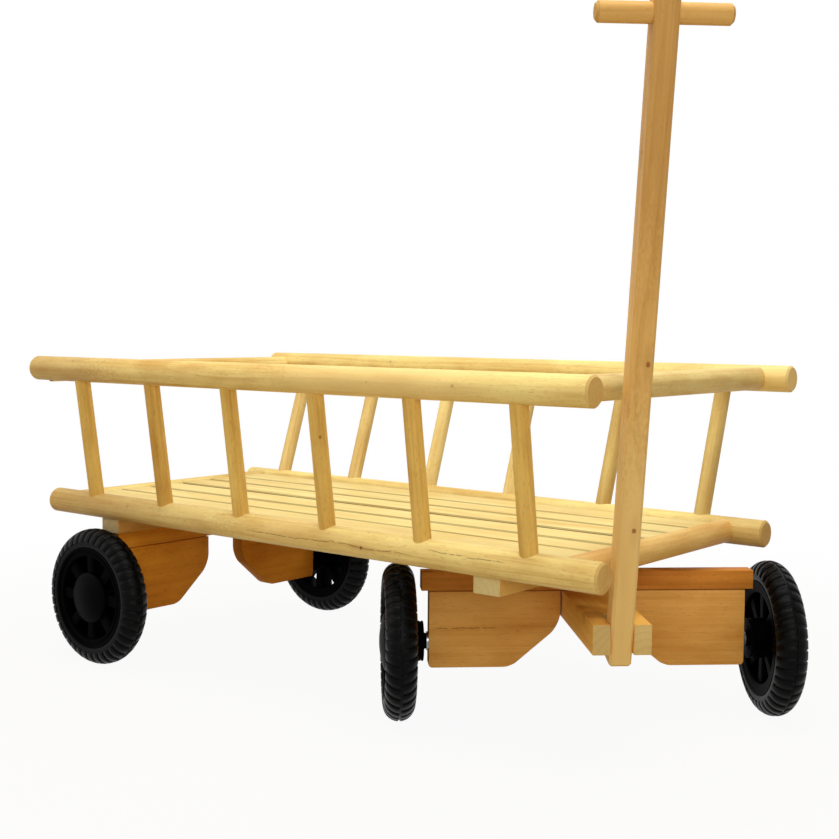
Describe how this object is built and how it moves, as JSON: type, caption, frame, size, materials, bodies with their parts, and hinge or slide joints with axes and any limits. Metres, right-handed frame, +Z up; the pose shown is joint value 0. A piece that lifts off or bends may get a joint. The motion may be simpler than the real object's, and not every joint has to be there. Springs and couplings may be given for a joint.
{
  "type": "ladder wagon",
  "caption": "Wooden hand-drawn ladder wagon with leaning rung sides, a slatted deck, black spoked wheels and a steered front axle with an upright drawbar.",
  "frame": {"origin": "on the ground under the middle of the wagon's outer box", "axes": "+X forward along the wagon, +Y to its left, +Z up"},
  "size_m": [1.1118, 0.5774, 0.8326],
  "materials": {
    "pale_wood": "satin",
    "cream_wood": "satin",
    "brown_wood": "satin",
    "tyre": "matt",
    "plastic": "satin",
    "steel": "zinc plated"
  },
  "bodies": {
    "wagon": {"right_rung_1": "pale_wood", "right_rung_2": "pale_wood", "right_rung_3": "pale_wood", "right_rung_4": "pale_wood", "right_rung_5": "pale_wood", "right_rung_6": "pale_wood", "right_upper_rail": "pale_wood", "right_lower_rail": "pale_wood", "left_rung_1": "pale_wood", "left_rung_2": "pale_wood", "left_rung_3": "pale_wood", "left_rung_4": "pale_wood", "left_rung_5": "pale_wood", "left_rung_6": "pale_wood", "left_upper_rail": "pale_wood", "left_lower_rail": "pale_wood", "upper_front_pole": "pale_wood", "upper_rear_pole": "pale_wood", "lower_front_pole": "pale_wood", "lower_rear_pole": "pale_wood", "deck_slats": "pale_wood", "front_cross_bar": "cream_wood", "rear_cross_bar": "cream_wood", "kingpin": "steel", "rear_beam": "brown_wood", "rear_right_board": "brown_wood", "rear_right_axle": "steel", "rear_right_washer": "steel", "rear_left_board": "brown_wood", "rear_left_axle": "steel", "rear_left_washer": "steel"},
    "front_unit": {"front_beam": "brown_wood", "front_right_board": "brown_wood", "front_left_board": "brown_wood", "front_right_axle": "steel", "front_left_axle": "steel", "front_right_washer": "steel", "front_left_washer": "steel", "fork": "cream_wood", "pivot_bolt": "steel"},
    "drawbar": {"drawbar": "pale_wood", "drawbar_handle": "pale_wood"},
    "front_right_wheel": {"front_right_tyre": "tyre", "front_right_wheel": "plastic", "front_right_cap": "plastic"},
    "front_left_wheel": {"front_left_tyre": "tyre", "front_left_wheel": "plastic", "front_left_cap": "plastic"},
    "rear_right_wheel": {"rear_right_tyre": "tyre", "rear_right_wheel": "plastic", "rear_right_cap": "plastic"},
    "rear_left_wheel": {"rear_left_tyre": "tyre", "rear_left_wheel": "plastic", "rear_left_cap": "plastic"}
  },
  "joints": [
    {"name": "steering", "type": "hinge", "parent": "wagon", "child": "front_unit", "pos_m": [0.26962, 0.01124, 0.1915], "axis": [0, 0, 1], "range_deg": [0, 94]},
    {"name": "drawbar_pivot", "type": "hinge", "parent": "front_unit", "child": "drawbar", "pos_m": [0.39886, -0.12736, 0.1485], "axis": [0.7314, 0.682, 0], "range_deg": [0, 88]},
    {"name": "front_right_wheel_spin", "type": "hinge", "parent": "front_unit", "child": "front_right_wheel", "pos_m": [0.09263, -0.15381, 0.1], "axis": [0.7314, 0.682, 0], "continuous": true},
    {"name": "front_left_wheel_spin", "type": "hinge", "parent": "front_unit", "child": "front_left_wheel", "pos_m": [0.4466, 0.17628, 0.1], "axis": [0.7314, 0.682, 0], "continuous": true},
    {"name": "rear_right_wheel_spin", "type": "hinge", "parent": "wagon", "child": "rear_right_wheel", "pos_m": [-0.41938, -0.23076, 0.1], "axis": [0, 1, 0], "continuous": true},
    {"name": "rear_left_wheel_spin", "type": "hinge", "parent": "wagon", "child": "rear_left_wheel", "pos_m": [-0.41938, 0.25323, 0.1], "axis": [0, 1, 0], "continuous": true}
  ]
}
